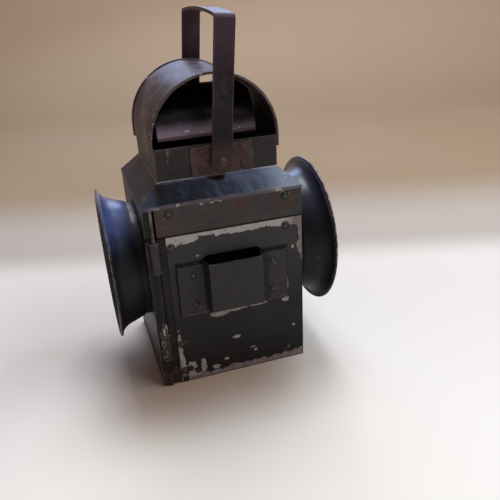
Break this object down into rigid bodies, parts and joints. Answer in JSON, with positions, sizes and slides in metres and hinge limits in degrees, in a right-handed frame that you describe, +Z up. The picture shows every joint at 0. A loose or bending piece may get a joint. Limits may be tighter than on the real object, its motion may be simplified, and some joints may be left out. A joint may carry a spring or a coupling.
{
  "type": "railway signal lamp",
  "caption": "Square oil-burning railway signal lamp with two opposed lens hoods, barrel-top vent dome, strap handle, hinged side door and lamp-iron socket.",
  "frame": {"origin": "middle of the case's base, on the surface the lamp stands on", "axes": "+X is right, towards the fixed lens; +Y is back; the socket faces -Y; +Z is up"},
  "size_m": [0.2217, 0.1612, 0.354],
  "materials": {
    "case_paint": "worn black gloss paint on sheet steel",
    "plate_paint": "dull grey-black paint, chipped to pale metal at the edges",
    "band_paint": "dull brown-grey paint",
    "socket_paint": "dull brown-grey paint, rubbed",
    "hinge_paint": "brown-grey paint over rust",
    "rivet_metal": "paint worn off the heads",
    "roof_paint": "black gloss paint",
    "neck_paint": "brown-grey paint",
    "dome_paint": "thin weathered paint over brown metal",
    "rust_paint": "red-brown rusty paint",
    "handle_paint": "purple-brown paint, rubbed bright at the bends",
    "hood_paint": "black gloss paint",
    "font_paint": "tinned steel, sooty",
    "lens_glass": "clear moulded glass",
    "brass": "dull brass",
    "worn_steel": "worn steel",
    "wick_cotton": "woven cotton"
  },
  "bodies": {
    "case": {"floor_tray": "case_paint", "front_wall": "case_paint", "back_wall": "case_paint", "right_wall": "case_paint", "front_plate": "plate_paint", "top_band": "band_paint", "lamp_iron_socket": "socket_paint", "socket_pan": "case_paint", "front_rivets": "rivet_metal", "socket_rivets": "socket_paint", "hinge_knuckles": "hinge_paint", "hinge_rod": "worn_steel", "roof": "roof_paint", "neck": "neck_paint", "vent_dome": "dome_paint", "inner_cowl": "dome_paint", "handle_plates": "rust_paint", "handle_plate_rivets": "rust_paint", "handle_spacers": "rust_paint", "handle_pivots": "rust_paint", "fixed_collar": "hood_paint", "fixed_hood": "hood_paint", "fixed_lens": "lens_glass", "fixed_lens_bezel": "brass", "fixed_lens_retainer": "brass", "catch_pivot": "worn_steel", "font_guides": "case_paint", "oil_font": "font_paint", "burner": "brass"},
    "door": {"door_panel": "case_paint", "door_collar": "hood_paint", "door_hood": "hood_paint", "door_lens": "lens_glass", "door_lens_bezel": "brass", "door_lens_retainer": "brass"},
    "catch": {"catch_lever": "worn_steel"},
    "handle": {"handle": "handle_paint"},
    "filler_cap": {"filler_cap": "brass"},
    "winder": {"winder_spindle": "worn_steel", "winder_knob": "brass"},
    "wick": {"wick": "wick_cotton"}
  },
  "joints": [
    {"name": "handle_swing", "type": "hinge", "parent": "case", "child": "handle", "pos_m": [0.0016, 0, 0.2237], "axis": [0, 1, 0], "range_deg": [-100, 89]},
    {"name": "door_swing", "type": "hinge", "parent": "case", "child": "door", "pos_m": [-0.0694, -0.066, 0.096], "axis": [0, 0, 1], "range_deg": [0, 110]},
    {"name": "catch_turn", "type": "hinge", "parent": "case", "child": "catch", "pos_m": [-0.05585, 0.0693, 0.096], "axis": [0, 1, 0], "range_deg": [0, 90]},
    {"name": "winder_turn", "type": "hinge", "parent": "case", "child": "winder", "pos_m": [-0.0051, 0, 0.0582], "axis": [0, -1, 0], "range_deg": [-60, 100]},
    {"name": "wick_lift", "type": "slide", "parent": "case", "child": "wick", "axis": [0, 0, 1], "range_m": [-0.004, 0.0065]},
    {"name": "cap_turn", "type": "hinge", "parent": "case", "child": "filler_cap", "pos_m": [-0.01405, 0.02007, 0.05], "axis": [0, 0, 1], "continuous": true}
  ],
  "couplings": [
    {"joint": "wick_lift", "follows": "winder_turn", "m_per_rad": 0.0036}
  ]
}
